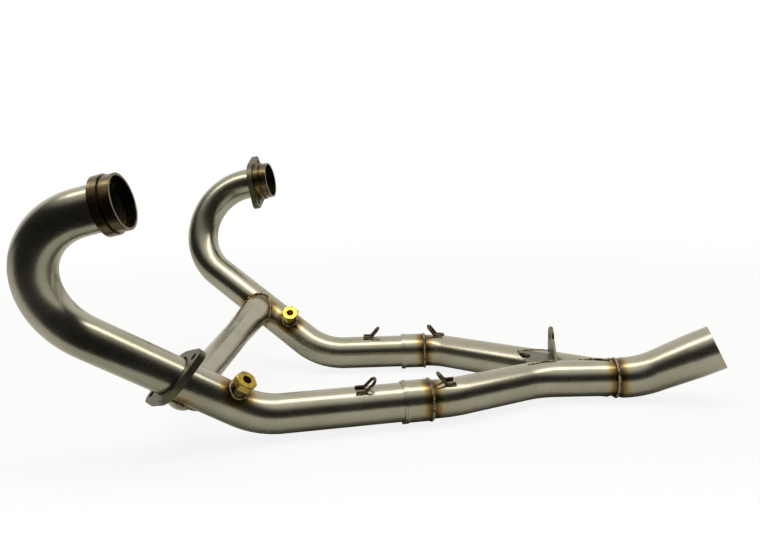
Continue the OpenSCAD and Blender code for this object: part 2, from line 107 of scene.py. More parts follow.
class PipeSizes(bpy.types.PropertyGroup):
    """Sizes that the welds, the soot and the heat colours follow"""

    base: FloatVectorProperty(name="Base", description="From the base's middle to the slip joints' middle",
                              default=(-4.5 * MM, 11.7 * MM, 25.9 * MM), subtype="TRANSLATION", size=3)
    tube_od: length_property("Tube", "Outside diameter of the header tube", 45)
    tube_wall: length_property("Wall", "Wall of every tube", 1.5)
    slip_spacing: length_property("Slip spacing", "Distance between the two slip joints", 222)
    u_bend_radius: length_property("Turn-back radius", "Centre-line radius of the turn-back", 80)
    lower_bend_radius: length_property("Lower radius", "Centre-line radius of the lower bend", 88)
    collar_length: length_property("Collar", "Length of the collar on each port", 20)
    collar_shoulder: length_property("Shoulder", "Length of the collar's shoulder", 9)
    spigot_bore: length_property("Spigot bore", "Bore of the spigot at each port", 48.5)
    boss_od: length_property("Boss", "Diameter of the sensor boss", 20)
    branch_start: length_property("Socket end", "From a slip joint back to the end of its socket", 27)
    front_hook_at: length_property("Front hook", "From a slip joint to its front hook", 51)
    hook_gap: length_property("Hook gap", "Distance between a hook's two arms", 10)
    hook_wire: length_property("Hook wire", "Diameter of the hook wire", 3.6)
    hook_foot: length_property("Hook foot", "Length of a hook's foot along the tube", 9)
    left_hook_at: angle_property("Left hook place", "How far round its bend the left hook stands", 4)
    left_hook_turn: angle_property("Left hook turn", "Where the left hook stands round its tube", 110)
    right_hook_at: angle_property("Right hook place", "How far round its bend the right hook stands", 20)
    right_hook_turn: angle_property("Right hook turn", "Where the right hook stands round its tube", -90)
    cross_start: length_property("Crossover start", "How far up the right leg it starts", 90)
    cross_end: length_property("Crossover end", "How far up the left leg it arrives", 58)
    cross_drop: length_property("Crossover drop", "How far under the left leg's middle it arrives", 23.6)
    cross_side: angle_property("Crossover side", "Where it arrives round the left leg", -7)
    cross_od: length_property("Crossover tube", "Diameter of the crossover tube", 35)
    cross_cone_od: length_property("Crossover cone", "Diameter where it leaves the right leg", 42)
    elbow_radius: length_property("Elbow radius", "Centre-line radius of the crossover's elbow", 19)
    elbow_straight: length_property("Elbow straight", "Straight ahead of the elbow's bend", 24)
    elbow_turn: angle_property("Elbow turn", "Angle of the crossover's elbow", 75)
    branch_run: length_property("Left run", "Straight of the left branch behind its socket", 12)
    branch_out: angle_property("Left bend 1", "First bend of the left branch", 16.5)
    branch_out_radius: length_property("Left radius 1", "Radius of the left branch's first bend", 100)
    branch_leg: length_property("Left leg", "Straight between the left branch's bends", 92)
    branch_back: angle_property("Left bend 2", "Second bend of the left branch", 29)
    branch_back_radius: length_property("Left radius 2", "Radius of the left branch's second bend", 84)
    branch_end: length_property("Left end", "Straight of the left branch up to the outlet", 73)
    right_branch_radius: length_property("Right radius", "Radius of the right branch's bend", 55)
    merge_setback: length_property("Merge", "How far ahead of the outlet the branches cross", 8)
    reducer_length: length_property("Reducer", "Length of the cone behind the merge", 8)
    outlet_od: length_property("Outlet", "Diameter of the outlet pipe", 50)
    outlet_socket_od: length_property("Outlet socket", "Diameter of the socket at its end", 54)
    outlet_rise: angle_property("Outlet rise", "Climb of the outlet's bend", 31)
    outlet_swing: angle_property("Outlet swing", "Turn of the outlet's bend from straight up", 30)
    outlet_radius: length_property("Outlet radius", "Radius of the outlet's bend", 80)
    outlet_length: length_property("Outlet length", "Length of the widening straight", 45)
    outlet_socket_length: length_property("Socket length", "Length of the socket at the end", 30)
    weld_width: length_property("Weld width", "Width of a weld bead across its seam", 4)
    tack_width: length_property("Tack width", "Width of the small welds on hooks and bracket", 2.6)
    ripple: length_property("Ripple", "Distance from one weld ripple to the next", 1.6)
    heat_reach: length_property("Heat colours", "How far the heat colours reach from a weld", 15)
    soot_gap: length_property("Soot", "Thickness of the soot skin inside each open end", 0.25)
    left: PointerProperty(type=LeftHeaderBends)
    right: PointerProperty(type=RightHeaderBends)


class PipeColours(bpy.types.PropertyGroup):
    """Colours of the metals, each as it looks in plain daylight"""

    steel: colour_property("Steel", "Satin stainless tube", "#ABA798")
    olive: colour_property("Olive", "Faint olive stain along the tubes", "#8C8D76")
    straw: colour_property("Straw", "Outermost heat colour", "#A59772")
    gold: colour_property("Gold", "Second heat colour", "#857144")
    brown: colour_property("Brown", "Third heat colour", "#57472F")
    violet: colour_property("Violet", "Innermost heat colour", "#484046")
    scale: colour_property("Scale", "Grey oxide on the weld itself", "#6E685E")
    port: colour_property("Port steel", "Turned and heat-darkened collars", "#5E543F")
    plate: colour_property("Plate steel", "Blasted plate of the flanges", "#6F705E")
    zinc: colour_property("Plated zinc", "Yellow-passivated plugs", "#CDB552")
    zinc_dull: colour_property("Dull zinc", "Worn parts of the plugs", "#85702C")
    soot: colour_property("Soot", "Dry soot inside the open ends", "#14120F")


class StageLook(bpy.types.PropertyGroup):
    """The plain stage and the camera"""

    camera_at: FloatVectorProperty(name="Camera", description="Where the camera stands",
                                   default=(-4.5 * MM, -895.6 * MM, 303.9 * MM),
                                   subtype="TRANSLATION", size=3)
    azimuth: angle_property("Azimuth", "Turn of the camera from straight along +Y", 1.9)
    elevation: angle_property("Elevation", "How far the camera looks down", 9.6)
    roll: angle_property("Roll", "Lean of the camera about its view", 1.8)
    focal_pixels: FloatProperty(name="Focal length", description="In pixels of a 760 pixel wide picture",
                                default=719.4)
    floor_size: length_property("Floor", "Width of the floor", 16000)
    floor_front: length_property("Floor front", "How far the floor reaches toward the camera", 320)
    floor_colour: colour_property("Floor", "Pale floor", "#E4E4E1")
    floor_white: FloatProperty(name="Floor white", description="Share of plain white that the camera sees",
                               default=0.86)
    studio_colour: colour_property("Studio", "White walls that the metal mirrors", "#FFFCF6")
    studio_dark: FloatProperty(name="Studio dark", description="Strength of the walls on the camera's side",
                               default=0.02)
    lamp_colour: colour_property("Lamp colour", "Slightly warm daylight", "#FFFAF2")
    lamp_power: FloatProperty(name="Lamp power", description="Watts of the overhead softbox", default=11)
    lamp_length: length_property("Lamp length", "Length of the softbox", 2400)
    lamp_width: length_property("Lamp width", "Width of the softbox", 300)
    lamp_at: FloatVectorProperty(name="Lamp place", description="Where the softbox hangs",
                                 default=(0, -0.15, 1.3), subtype="TRANSLATION", size=3)


# Frames: a tube runs along +Z of its frame and bends toward +X

def turned(f, angle, axis):
    return f @ Matrix.Rotation(angle, 4, axis)


def along(f, z):
    return f @ Matrix.Translation((0, 0, z))


def bent(f, angle, radius):
    out = Matrix.Translation((radius * (1 - math.cos(angle)), 0, radius * math.sin(angle)))
    return f @ out @ Matrix.Rotation(angle, 4, "Y")


def header_frames(sizes, bends, side):
    """The frames of one header, from its slip joint to its port face."""
    at = Vector(sizes.base) + Vector((0, side * sizes.slip_spacing / 2, 0))
    f = {}
    f["slip"] = turned(turned(Matrix.Translation(at), bends.toe_in, "Z"), -math.pi / 2, "Y")
    f["lower_bend"] = turned(along(f["slip"], bends.run), bends.plane, "Z")
    f["leg_foot"] = bent(f["lower_bend"], bends.rise, sizes.lower_bend_radius)
    f["u_bend"] = turned(along(f["leg_foot"], bends.leg), bends.twist, "Z")
    f["stub_foot"] = bent(f["u_bend"], bends.u_turn, sizes.u_bend_radius)
    f["mouth"] = along(f["stub_foot"], bends.stub)
    f["boss"] = turned(turned(along(f["leg_foot"], bends.boss_at), bends.boss_turn, "Z"), math.pi / 2, "Y")
    f["rearward"] = turned(f["slip"], math.pi, "X")
    hook_foot = turned(along(f["slip"], sizes.front_hook_at), bends.hook_turn, "Z")
    f["front_hook"] = turned(hook_foot, math.pi, "X")
    return f


def crossover_frames(sizes, left, right):
    """The frames of the crossover, from the right leg's middle to under the left leg."""
    start = along(right["leg_foot"], sizes.cross_start).translation
    end = turned(along(left["leg_foot"], sizes.cross_end), sizes.cross_side, "Z")
    way = (end @ Matrix.Translation((-sizes.cross_drop, 0, 0))).translation - start
    f = {}
    aim = turned(Matrix.Translation(start), math.atan2(way.y, way.x), "Z")
    f["start"] = turned(turned(aim, math.acos(way.z / way.length), "Y"), math.pi, "Z")
    f["elbow"] = along(f["start"], way.length - sizes.elbow_radius - sizes.elbow_straight)
    f["elbow_bend"] = along(f["elbow"], sizes.elbow_straight)
    f["elbow_end"] = bent(f["elbow_bend"], sizes.elbow_turn, sizes.elbow_radius)
    return f


def collector_frames(sizes, left, right):
    """The frames of both branches and the outlet, rearward from the slip joints."""
    f = {}
    left_start = along(left["rearward"], sizes.branch_start + sizes.branch_run)
    f["left_bend"] = turned(left_start, -math.pi / 2, "Z")
    f["left_leg"] = bent(f["left_bend"], sizes.branch_out, sizes.branch_out_radius)
    f["left_back"] = turned(along(f["left_leg"], sizes.branch_leg), math.pi, "Z")
    f["left_end"] = bent(f["left_back"], sizes.branch_back, sizes.branch_back_radius)
    f["right_bend"] = turned(along(right["rearward"], sizes.branch_start), math.pi / 2, "Z")
    radius = sizes.right_branch_radius
    way = along(f["left_end"], sizes.branch_end - sizes.merge_setback).translation
    way = way - (f["right_bend"] @ Vector((radius, 0, 0)))
    turn = sizes.right.toe_in - math.atan2(way.y, way.x) + math.asin(radius / way.length)
    f["right_leg"] = bent(f["right_bend"], turn, radius)
    f["outlet"] = turned(along(f["left_end"], sizes.branch_end), sizes.outlet_swing - math.pi / 2, "Z")
    f["outlet_bend"] = along(f["outlet"], sizes.reducer_length)
    f["outlet_leg"] = bent(f["outlet_bend"], sizes.outlet_rise, sizes.outlet_radius)
    f["outlet_socket"] = along(f["outlet_leg"], sizes.outlet_length)
    f["outlet_mouth"] = along(f["outlet_socket"], sizes.outlet_socket_length)
    left_foot = bent(f["left_bend"], sizes.left_hook_at, sizes.branch_out_radius)
    f["left_hook"] = turned(turned(left_foot, sizes.left_hook_turn, "Z"), math.pi, "X")
    right_foot = bent(f["right_bend"], sizes.right_hook_at, radius)
    f["right_hook"] = turned(turned(right_foot, sizes.right_hook_turn, "Z"), math.pi, "X")
    return f


def pipe_frames(context):
    sizes = context.scene.decat_sizes
    left = header_frames(sizes, sizes.left, -1)
    right = header_frames(sizes, sizes.right, 1)
    return sizes, left, right, crossover_frames(sizes, left, right), collector_frames(sizes, left, right)


# Node trees

def add_node(tree, kind, inputs=None, stops=(), **settings):
    """Adds a node, sets its settings and colour stops, and fills or links its inputs."""
    node = tree.nodes.new(kind)
    for name, value in settings.items():
        setattr(node, name, value)
    if stops:
        elements = node.color_ramp.elements
        while len(elements) < len(stops):
            elements.new(0.5)
        for element, (place, colour) in zip(elements, stops):
            element.position = place
            element.color = opaque(colour)
    for name, value in (inputs or {}).items():
        if isinstance(value, bpy.types.NodeSocket):
            tree.links.new(value, node.inputs[name])
        else:
            node.inputs[name].default_value = value
    return node


def opaque(colour):
    return (*colour, 1)


def ring_distance_group():
    """A shader group: how far a point lies from a ring, such as a weld round a tube."""
    name = "Distance from ring"
    if name in bpy.data.node_groups:
        return bpy.data.node_groups[name]
    group = bpy.data.node_groups.new(name, "ShaderNodeTree")
    for label, kind in (("Point", "NodeSocketVector"), ("Centre", "NodeSocketVector"),
                        ("Axis", "NodeSocketVector"), ("Radius", "NodeSocketFloat")):
        group.interface.new_socket(label, in_out="INPUT", socket_type=kind)
    group.interface.new_socket("Distance", in_out="OUTPUT", socket_type="NodeSocketFloat")
    given = add_node(group, "NodeGroupInput").outputs
    offset = add_node(group, "ShaderNodeVectorMath", {0: given["Point"], 1: given["Centre"]},
                      operation="SUBTRACT")
    height = add_node(group, "ShaderNodeVectorMath", {0: offset.outputs[0], 1: given["Axis"]},
                      operation="DOT_PRODUCT")
    across = add_node(group, "ShaderNodeVectorMath", {0: offset.outputs[0], 1: given["Axis"]},
                      operation="CROSS_PRODUCT")
    reach = add_node(group, "ShaderNodeVectorMath", {0: across.outputs[0]}, operation="LENGTH")
    beside = add_node(group, "ShaderNodeMath", {0: reach.outputs["Value"], 1: given["Radius"]},
                      operation="SUBTRACT")
    both = add_node(group, "ShaderNodeCombineXYZ", {"X": height.outputs["Value"], "Y": beside.outputs[0]})
    length = add_node(group, "ShaderNodeVectorMath", {0: both.outputs[0]}, operation="LENGTH")
    add_node(group, "NodeGroupOutput", {"Distance": length.outputs["Value"]})
    return group


def nearest_ring(tree, point, rings):
    """The distance from a point to the nearest of several rings, each (frame, radius)."""
    nearest = None
    for f, radius in rings:
        axis = f.to_3x3() @ Vector((0, 0, 1))
        ring = add_node(tree, "ShaderNodeGroup", {"Point": point, "Centre": f.translation, "Axis": axis,
                                                  "Radius": radius}, node_tree=ring_distance_group())
        found = ring.outputs["Distance"]
        if nearest is not None:
            found = add_node(tree, "ShaderNodeMath", {0: nearest, 1: found}, operation="MINIMUM").outputs[0]
        nearest = found
    return nearest


def new_metal(name, roughness=0.3, grain=0, depth=0):
    """A material with one metal shader and a fine grain of some depth, and the point in the
    object's own space."""
    material = bpy.data.materials.new(name)
    material.use_nodes = True
    tree = material.node_tree
    tree.nodes.clear()
    shader = add_node(tree, "ShaderNodeBsdfPrincipled", {"Metallic": 1.0, "Roughness": roughness})
    add_node(tree, "ShaderNodeOutputMaterial", {"Surface": shader.outputs[0]})
    point = add_node(tree, "ShaderNodeTexCoord").outputs["Object"]
    if grain:
        noise = add_node(tree, "ShaderNodeTexNoise", {"Vector": point, "Scale": 1 / grain, "Detail": 2.0})
        bump = add_node(tree, "ShaderNodeBump", {"Height": noise.outputs["Fac"], "Distance": depth,
                                                 "Strength": 1.0})
        tree.links.new(bump.outputs["Normal"], shader.inputs["Normal"])
    return material, tree, shader, point


def patches(tree, point, grain, low=0.0, high=1.0):
    """A value that wanders from low to high in patches about one grain across."""
    noise = add_node(tree, "ShaderNodeTexNoise", {"Vector": point, "Scale": 1 / grain, "Detail": 3.0})
    spread = add_node(tree, "ShaderNodeMapRange", {"Value": noise.outputs["Fac"], "To Min": low,
                                                   "To Max": high})
    return spread.outputs["Result"]


def satin_steel(name, colours, rings, reach):
    """Stainless tube with a satin polish: soft long highlights, and heat colours that run
    from straw through gold and brown to violet toward each weld."""
    material, tree, shader, point = new_metal(name)
    stain = patches(tree, point, 45 * MM, -0.35, 1.1)
    base = add_node(tree, "ShaderNodeMix", {MIX_FACTOR: stain, MIX_A: opaque(colours.steel),
                                            MIX_B: opaque(colours.olive)}, data_type="RGBA")
    if rings:
        wander = patches(tree, point, 12 * MM, -0.22, 0.22)
        distance = nearest_ring(tree, point, rings)
        scaled = add_node(tree, "ShaderNodeMath", {0: distance, 1: reach}, operation="DIVIDE")
        heat = add_node(tree, "ShaderNodeMath", {0: scaled.outputs[0], 1: wander}, operation="ADD")
        heat_colours = add_node(tree, "ShaderNodeValToRGB", {"Fac": heat.outputs[0]},
                                [(0.0, colours.scale), (0.12, colours.violet), (0.26, colours.brown),
                                 (0.5, colours.gold), (0.8, colours.straw)])
        cool = add_node(tree, "ShaderNodeMapRange", {"Value": heat.outputs[0], "From Min": 0.6,
                                                     "From Max": 1.15}, interpolation_type="SMOOTHSTEP")
        base = add_node(tree, "ShaderNodeMix", {MIX_FACTOR: cool.outputs["Result"],
                                                MIX_A: heat_colours.outputs["Color"],
                                                MIX_B: base.outputs[MIX_RESULT]}, data_type="RGBA")
    tree.links.new(base.outputs[MIX_RESULT], shader.inputs["Base Color"])
    # the satin's scratches are finer than a pixel, so they show only as a soft highlight
    tree.links.new(patches(tree, point, 30 * MM, 0.22, 0.31), shader.inputs["Roughness"])
    return material


def port_steel(colours, mouths):
    """Turned stainless collars: darker straw from engine heat, and black inside."""
    material, tree, shader, point = new_metal("Heat-darkened turned steel")
    bare = add_node(tree, "ShaderNodeValToRGB", {"Fac": patches(tree, point, 9 * MM)},
                    [(0.3, colours.brown), (0.5, colours.port), (0.7, colours.gold)])
    inside = nearest_ring(tree, point, mouths)
    clean = add_node(tree, "ShaderNodeMapRange", {"Value": inside, "From Min": 0.4 * MM,
                                                  "From Max": 1.4 * MM}, interpolation_type="SMOOTHSTEP")
    base = add_node(tree, "ShaderNodeMix", {MIX_FACTOR: clean.outputs["Result"],
                                            MIX_A: opaque(colours.soot),
                                            MIX_B: bare.outputs["Color"]}, data_type="RGBA")
    rough = add_node(tree, "ShaderNodeMapRange", {"Value": clean.outputs["Result"], "To Min": 0.6,
                                                  "To Max": 0.3})
    tree.links.new(base.outputs[MIX_RESULT], shader.inputs["Base Color"])
    tree.links.new(rough.outputs["Result"], shader.inputs["Roughness"])
    return material


def plate_steel(colours):
    """Stainless plate, cut and lightly blasted: even, greyer and duller than the tube."""
    material, tree, shader, point = new_metal("Blasted plate steel", grain=0.7 * MM, depth=0.02 * MM)
    base = add_node(tree, "ShaderNodeMix", {MIX_FACTOR: patches(tree, point, 14 * MM),
                                            MIX_A: opaque(colours.plate),
                                            MIX_B: opaque(colours.port)}, data_type="RGBA")
    tree.links.new(base.outputs[MIX_RESULT], shader.inputs["Base Color"])
    tree.links.new(patches(tree, point, 5 * MM, 0.34, 0.5), shader.inputs["Roughness"])
    return material


def tinted_steel(colours):
    """Small welded steel parts: brown and gold from the weld's heat."""
    material, tree, shader, point = new_metal("Heat-tinted small steel", 0.34, 0.7 * MM, 0.015 * MM)
    base = add_node(tree, "ShaderNodeValToRGB", {"Fac": patches(tree, point, 6 * MM)},
                    [(0.35, colours.violet), (0.5, colours.brown),
                     (0.62, colours.port), (0.78, colours.gold)])
    tree.links.new(base.outputs["Color"], shader.inputs["Base Color"])
    return material


def weld_steel(colours):
    """Weld beads: bright rippled steel with gold and violet in patches."""
    material, tree, shader, point = new_metal("Rippled weld", grain=0.5 * MM, depth=0.02 * MM)
    base = add_node(tree, "ShaderNodeValToRGB", {"Fac": patches(tree, point, 5 * MM)},
                    [(0.28, colours.violet), (0.42, colours.brown),
                     (0.55, colours.straw), (0.72, colours.gold)])
    tree.links.new(base.outputs["Color"], shader.inputs["Base Color"])
    return material


def plated_zinc(colours):
    """Yellow-passivated zinc on the plugs: a thin brassy film, worn dull in patches."""
    material, tree, shader, point = new_metal("Yellow-plated zinc", grain=0.6 * MM, depth=0.012 * MM)
    base = add_node(tree, "ShaderNodeMix", {MIX_FACTOR: patches(tree, point, 5 * MM, -0.3, 1.3),
                                            MIX_A: opaque(colours.zinc),
                                            MIX_B: opaque(colours.zinc_dull)}, data_type="RGBA")
    tree.links.new(base.outputs[MIX_RESULT], shader.inputs["Base Color"])
    tree.links.new(patches(tree, point, 2 * MM, 0.2, 0.36), shader.inputs["Roughness"])
    return material


def dry_soot(colours):
    """Dry carbon: black, and rough enough to kill every highlight."""
    material, tree, shader, point = new_metal("Dry soot", 0.9)
    shader.inputs["Metallic"].default_value = 0.0
    lumps = patches(tree, point, 3 * MM)
    greyer = opaque(tuple(1.8 * c for c in colours.soot))
    base = add_node(tree, "ShaderNodeMix", {MIX_FACTOR: lumps, MIX_A: opaque(colours.soot), MIX_B: greyer},
                    data_type="RGBA")
    bump = add_node(tree, "ShaderNodeBump", {"Height": lumps, "Distance": 0.1 * MM, "Strength": 1.0})
    tree.links.new(base.outputs[MIX_RESULT], shader.inputs["Base Color"])
    tree.links.new(bump.outputs["Normal"], shader.inputs["Normal"])
    return material


# Pieces

def new_object(context, name, vertices, faces, edges=()):
    mesh = bpy.data.meshes.new(name)
    mesh.from_pydata([tuple(v) for v in vertices], list(edges), list(faces))
    mesh.update()
    piece = bpy.data.objects.new(name, mesh)
    context.scene.collection.objects.link(piece)
    return piece


def finish_piece(piece, material):
    piece.data.materials.clear()
    piece.data.materials.append(material)
    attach(piece, BODY)


def weld_tree():
    """Geometry Nodes: a bead of overlapping ripples along a path."""
    name = "Weld bead"
    if name in bpy.data.node_groups:
        return bpy.data.node_groups[name]
    tree = bpy.data.node_groups.new(name, "GeometryNodeTree")
    for label, kind in (("Path", "NodeSocketGeometry"), ("Width", "NodeSocketFloat"),
                        ("Ripple", "NodeSocketFloat"), ("Material", "NodeSocketMaterial")):
        tree.interface.new_socket(label, in_out="INPUT", socket_type=kind)
    tree.interface.new_socket("Bead", in_out="OUTPUT", socket_type="NodeSocketGeometry")
    given = add_node(tree, "NodeGroupInput").outputs
    path = add_node(tree, "GeometryNodeMeshToCurve", {"Mesh": given["Path"]})
    spaced = add_node(tree, "GeometryNodeResampleCurve", {"Curve": path.outputs[0],
                                                          "Length": given["Ripple"]}, mode="LENGTH")
    half = add_node(tree, "ShaderNodeMath", {0: given["Width"], 1: 0.5}, operation="MULTIPLY").outputs[0]
    # the core is thinner than the ripples, so it only fills the dips between them
    core_radius = add_node(tree, "ShaderNodeMath", {0: half, 1: 0.86}, operation="MULTIPLY").outputs[0]
    profile = add_node(tree, "GeometryNodeCurvePrimitiveCircle", {"Resolution": 10, "Radius": core_radius})
    core = add_node(tree, "GeometryNodeCurveToMesh", {"Curve": spaced.outputs[0],
                                                      "Profile Curve": profile.outputs[0],
                                                      "Fill Caps": True})
    ripple = add_node(tree, "GeometryNodeMeshUVSphere", {"Segments": 12, "Rings": 6, "Radius": 1.0})
    tangent = add_node(tree, "GeometryNodeInputTangent")
    aim = add_node(tree, "FunctionNodeAlignRotationToVector", {"Vector": tangent.outputs[0]}, axis="Z")
    # half a ripple is longer than half the spacing, so each one overlaps the next
    half_long = add_node(tree, "ShaderNodeMath", {0: given["Ripple"], 1: 0.78}, operation="MULTIPLY")
    size = add_node(tree, "ShaderNodeCombineXYZ", {"X": half, "Y": half, "Z": half_long.outputs[0]})
    ripples = add_node(tree, "GeometryNodeInstanceOnPoints", {"Points": spaced.outputs[0],
                                                              "Instance": ripple.outputs["Mesh"],
                                                              "Rotation": aim.outputs[0],
                                                              "Scale": size.outputs[0]})
    joined = add_node(tree, "GeometryNodeJoinGeometry")
    tree.links.new(core.outputs[0], joined.inputs[0])
    tree.links.new(ripples.outputs[0], joined.inputs[0])
    real = add_node(tree, "GeometryNodeRealizeInstances", {"Geometry": joined.outputs[0]})
    smooth = add_node(tree, "GeometryNodeSetShadeSmooth", {"Geometry": real.outputs[0]})
    painted = add_node(tree, "GeometryNodeSetMaterial", {"Geometry": smooth.outputs[0],
                                                         "Material": given["Material"]})
    add_node(tree, "NodeGroupOutput", {"Bead": painted.outputs[0]})
    return tree


def lay_weld(context, name, paths, width, ripple, material):
    """One piece of weld beads along paths, each (points, closed)."""
    vertices, edges = [], []
    for points, closed in paths:
        first = len(vertices)
        vertices += points
        edges += [(first + i, first + i + 1) for i in range(len(points) - 1)]
        if closed:
            edges.append((len(vertices) - 1, first))
    path = new_object(context, name + "_path", vertices, (), edges)
    modifier = path.modifiers.new("Weld bead", "NODES")
    modifier.node_group = weld_tree()
    keys = {item.name: item.identifier for item in modifier.node_group.interface.items_tree}
    modifier[keys["Width"]] = width
    modifier[keys["Ripple"]] = ripple
    modifier[keys["Material"]] = material
    evaluated = path.evaluated_get(context.evaluated_depsgraph_get())
    mesh = bpy.data.meshes.new_from_object(evaluated)
    mesh.name = name
    piece = bpy.data.objects.new(name, mesh)
    context.scene.collection.objects.link(piece)
    bpy.data.objects.remove(path)
    finish_piece(piece, material)


def circle(f, radius, steps):
    """Points round a frame's own Z axis."""
    angles = [2 * math.pi * i / steps for i in range(steps)]
    return [f @ Vector((radius * math.cos(a), radius * math.sin(a), 0)) for a in angles]


def ring_path(f, radius):
    return circle(f, radius, SEAM_STEPS), True


def saddle_path(branch, radius, main, main_radius, proud, far=False):
    """The seam where a branch tube meets a main tube, standing a little proud of both."""
    axis = (main.to_3x3() @ Vector((0, 0, 1))).normalized()
    way = (branch.to_3x3() @ Vector((0, 0, 1))).normalized()
    across = way - axis * way.dot(axis)
    points = []
    for start in circle(branch, radius + proud, SEAM_STEPS):
        offset = start - main.translation
        offset = offset - axis * offset.dot(axis)
        half_b = across.dot(offset)
        c = offset.length_squared - (main_radius + proud) ** 2
        root = math.sqrt(max(half_b ** 2 - across.length_squared * c, 0))
        step = (-half_b + (root if far else -root)) / across.length_squared
        points.append(start + way * step)
    return points, True


def lining(context, name, stations, skin, material):
    """A thin sooty cup inside an open end: stations are (frame, radius), from the mouth inward."""
    steps = LINING_STEPS
    outward = [(f, r - skin) for f, r in reversed(stations)]
    inner_floor = along(outward[0][0], skin)
    rows = stations + [(inner_floor, outward[0][1])] + outward[1:]
    vertices, faces = [], []
    for f, r in rows:
        vertices += circle(f, r, steps)
    deepest = len(stations) - 1
    for row in range(len(rows)):
        if row == deepest:
            continue
        here = row * steps
        there = (row + 1) % len(rows) * steps
        for i in range(steps):
            j = (i + 1) % steps
            faces.append((here + i, here + j, there + j, there + i))
    faces.append([deepest * steps + i for i in reversed(range(steps))])
    faces.append([(deepest + 1) * steps + i for i in range(steps)])
    piece = new_object(context, name, vertices, faces)
    fix_normals(piece)
    finish_piece(piece, material)


def fix_normals(piece):
    """Faces turned outward, with round sides smooth and the end caps flat."""
    shape = bmesh.new()
    shape.from_mesh(piece.data)
    bmesh.ops.recalc_face_normals(shape, faces=shape.faces)
    for face in shape.faces:
        face.smooth = len(face.verts) == 4
    shape.to_mesh(piece.data)
    shape.free()


# Operators

class DECAT_OT_metals(bpy.types.Operator):
    """Give every CAD piece its metal"""

    bl_idname = "decat.metals"
    bl_label = "Metals"

    def execute(self, context):
        sizes, left, right, cross, collector = pipe_frames(context)
        colours = context.scene.decat_colours
        tube = sizes.tube_od / 2
        boss = sizes.boss_od / 2
        cone_seam = (along(cross["start"], tube), sizes.cross_cone_od / 2)
        elbow_seam = (cross["elbow"], sizes.cross_od / 2)
        left_seam = (along(left["rearward"], sizes.branch_start), tube)
        right_seam = (along(right["rearward"], sizes.branch_start), tube)
        outlet_seam = (collector["outlet"], tube)
        rings = {
            "left_header": [(along(left["boss"], tube), boss), (left["mouth"], tube),
                            (cross["elbow_end"], sizes.cross_od / 2)],
            "right_header": [(along(right["boss"], tube), boss), (right["mouth"], tube), cone_seam],
            "crossover_cone": [cone_seam],
            "crossover_tube": [elbow_seam],
            "crossover_elbow": [elbow_seam],
            "left_slip_socket": [left_seam],
            "right_slip_socket": [right_seam],
            "left_branch": [left_seam, outlet_seam],
            "right_branch": [right_seam, outlet_seam],
            "outlet_reducer": [outlet_seam],
            "outlet_pipe": [outlet_seam],
            "outlet_socket": [],
        }
        # rings down each spigot, in millimetres from its mouth, that blacken its bore
        ports = []
        for header in (left, right):
            for depth in (1, 5, 9, 13):
                ports.append((along(header["mouth"], -depth * MM), sizes.spigot_bore / 2))
        shared = {
            "collar": port_steel(colours, ports),
            "flange": plate_steel(colours),
            "bracket": plate_steel(colours),
            "boss": tinted_steel(colours),
            "hook": tinted_steel(colours),
            "plug": plated_zinc(colours),
        }
        for name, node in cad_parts.items():
            if name in rings:
                material = satin_steel("Satin steel " + name.replace("_", " "), colours, rings[name],
                                       sizes.heat_reach)
            else:
                material = shared[name.split("_")[-1]]
            node.data.materials.clear()
            node.data.materials.append(material)
        return {"FINISHED"}


class DECAT_OT_welds(bpy.types.Operator):
    """Lay the weld beads"""

    bl_idname = "decat.welds"
    bl_label = "Welds"

    def execute(self, context):
        sizes, left, right, cross, collector = pipe_frames(context)
        bead = weld_steel(context.scene.decat_colours)
        tube = sizes.tube_od / 2
        boss = sizes.boss_od / 2
        width, ripple = sizes.weld_width, sizes.ripple
        # each bead's middle stands off its tube by a share of the bead's width
        proud = 0.1 * width
        for side, header in (("left", left), ("right", right)):
            paths = [saddle_path(header["boss"], boss, header["leg_foot"], tube, proud, far=True)]
            lay_weld(context, side + "_boss_weld", paths, 0.8 * width, ripple, bead)
            ring = ring_path(along(header["rearward"], sizes.branch_start), tube + 0.25 * width)
            lay_weld(context, side + "_socket_weld", [ring], width, ripple, bead)
        collar = ring_path(along(left["mouth"], -sizes.collar_length - proud), tube + 0.3 * width)
        lay_weld(context, "left_collar_weld", [collar], width, ripple, bead)
        cone = sizes.cross_cone_od / 2
        start = saddle_path(cross["start"], cone, right["leg_foot"], tube, proud, far=True)
        lay_weld(context, "crossover_start_weld", [start], width, ripple, bead)
        elbow = sizes.cross_od / 2
        end = saddle_path(along(cross["elbow_end"], -tube), elbow, left["leg_foot"], tube, proud)
        lay_weld(context, "crossover_end_weld", [end], width, ripple, bead)
        seam = ring_path(cross["elbow"], elbow)
        lay_weld(context, "crossover_seam_weld", [seam], 0.8 * width, ripple, bead)
        merge = saddle_path(collector["right_leg"], tube, collector["left_end"], tube, proud)
        lay_weld(context, "merge_weld", [merge], width, ripple, bead)
        outlet = ring_path(collector["outlet"], tube + 0.1 * width)
        lay_weld(context, "outlet_weld", [outlet], 1.2 * width, ripple, bead)
        return {"FINISHED"}


